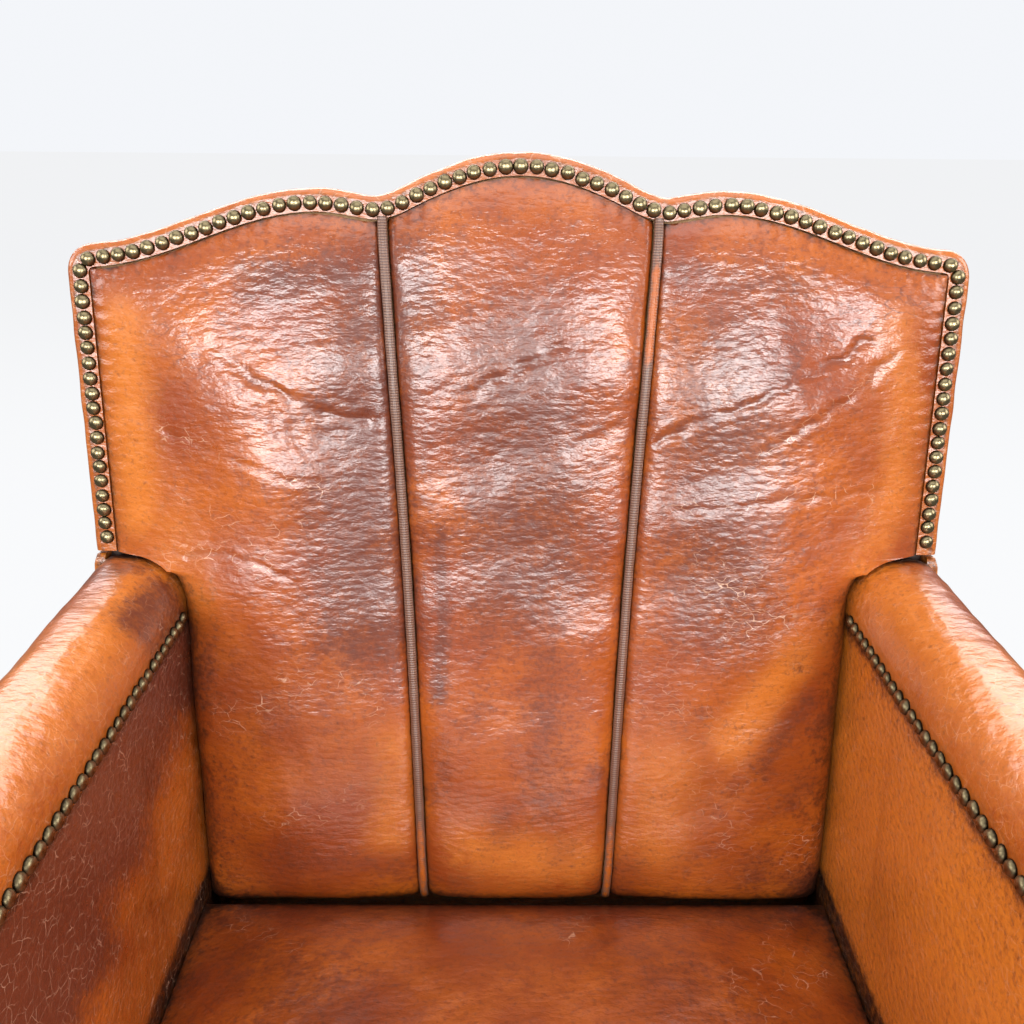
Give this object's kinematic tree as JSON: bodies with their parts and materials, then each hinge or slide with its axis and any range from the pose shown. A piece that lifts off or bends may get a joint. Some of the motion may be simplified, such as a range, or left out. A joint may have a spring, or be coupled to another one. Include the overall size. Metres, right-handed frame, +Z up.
{
  "type": "leather club chair",
  "caption": "Worn leather club chair with a moustache back in three piped panels, nail trim, padded arms with rounded tops and a tight sprung seat on short wooden feet.",
  "frame": {"origin": "on the floor, at the middle of the chair's width and depth", "axes": "+Z up, the chair faces -Y, +X to the right as seen from its front"},
  "size_m": [0.654, 0.7163, 0.8527],
  "materials": {
    "leather_tan": "worn, waxed, semi-gloss",
    "leather_plum": "worn, darkened, glossy",
    "leather_amber": "worn, waxed, semi-gloss",
    "leather_piping": "rubbed, dark",
    "aged_brass": "tarnished",
    "dark_wood": "dark stain, satin",
    "beech": "bare, sawn",
    "jute": "coarse weave",
    "hair_stuffing": "matted fibre",
    "spring_steel": "dull",
    "lining": "plain weave"
  },
  "bodies": {
    "root": {"front_foot_left": "dark_wood", "front_foot_right": "dark_wood", "rear_post_left": "dark_wood", "rear_post_right": "dark_wood", "front_post_left": "beech", "front_post_right": "beech", "arm_rail_left": "beech", "arm_rail_right": "beech", "back_top_rail": "beech", "back_lower_rail": "beech", "seat_rail_front": "beech", "seat_rail_rear": "beech", "seat_rail_left": "beech", "seat_rail_right": "beech", "corner_block_front_left": "beech", "corner_block_front_right": "beech", "corner_block_rear_left": "beech", "corner_block_rear_right": "beech", "webbing_long_1": "jute", "webbing_long_2": "jute", "webbing_long_3": "jute", "webbing_cross_1": "jute", "webbing_cross_2": "jute", "webbing_cross_3": "jute", "seat_spring_1": "spring_steel", "seat_spring_2": "spring_steel", "seat_spring_3": "spring_steel", "seat_spring_4": "spring_steel", "seat_spring_5": "spring_steel", "seat_spring_6": "spring_steel", "seat_spring_7": "spring_steel", "seat_spring_8": "spring_steel", "seat_spring_9": "spring_steel", "seat_hessian": "jute", "seat_stuffing": "hair_stuffing", "seat_cover": "leather_tan", "front_border": "leather_tan", "back_hessian": "jute", "back_stuffing": "hair_stuffing", "back_panel_left": "leather_tan", "back_panel_centre": "leather_plum", "back_panel_right": "leather_tan", "back_piping_left": "leather_piping", "back_piping_right": "leather_piping", "back_border": "leather_tan", "back_nails": "aged_brass", "outside_back": "leather_amber", "arm_stuffing_left": "hair_stuffing", "arm_stuffing_right": "hair_stuffing", "arm_cover_left": "leather_tan", "arm_cover_right": "leather_tan", "inside_arm_left": "leather_plum", "inside_arm_right": "leather_amber", "outside_arm_left": "leather_amber", "outside_arm_right": "leather_amber", "arm_facing_left": "leather_tan", "arm_facing_right": "leather_tan", "arm_nails_left": "aged_brass", "arm_nails_right": "aged_brass", "dust_cover": "lining"}
  },
  "joints": []
}
